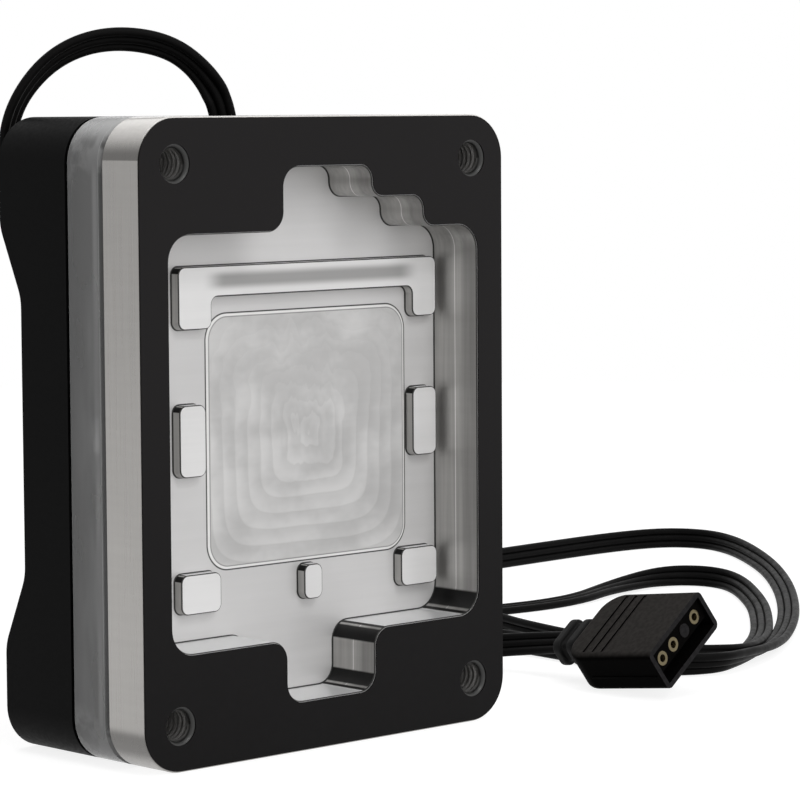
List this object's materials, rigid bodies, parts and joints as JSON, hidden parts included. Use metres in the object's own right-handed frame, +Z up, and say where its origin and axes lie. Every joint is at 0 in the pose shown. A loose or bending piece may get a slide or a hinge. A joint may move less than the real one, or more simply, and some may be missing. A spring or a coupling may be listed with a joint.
{
  "type": "cpu water block",
  "caption": "Direct-die processor water block with a nickel cold plate, clear acrylic body, black rear cover with threaded ports, and a flat light lead with plug",
  "frame": {"origin": "Middle of the block's bottom end, on the surface it stands on.", "axes": "+Z up along the long side, +X to the right seen from the front. The processor side faces -Y and the water ports face +Y."},
  "size_m": [0.1893, 0.1038, 0.0806],
  "materials": {
    "film": "matt black film",
    "nickel": "bright nickel plate on copper",
    "seal_rubber": "black rubber",
    "steel_sheet": "plain rolled sheet",
    "acrylic": "clear cast acrylic, satin machined",
    "board": "white solder mask",
    "light_chip": "clear resin",
    "capacitor": "unglazed",
    "anodised": "black anodised, fine blasted",
    "screw_steel": "black oxide",
    "gland_rubber": "black rubber",
    "lead_jacket": "black soft jacket",
    "plug_rubber": "black soft moulding",
    "plug_plastic": "black moulded",
    "contact_brass": "bright"
  },
  "bodies": {
    "root": {"insulating_film": "film", "cold_plate": "nickel", "main_seal": "seal_rubber", "flow_plate": "steel_sheet", "acrylic_body": "acrylic", "led_board": "board", "led_chips": "light_chip", "led_capacitors": "capacitor", "rear_cover": "anodised", "cover_screws": "screw_steel", "cable_gland": "gland_rubber", "light_lead": "lead_jacket", "plug_relief": "plug_rubber", "plug_housing": "plug_plastic", "plug_contacts": "contact_brass"}
  },
  "joints": []
}
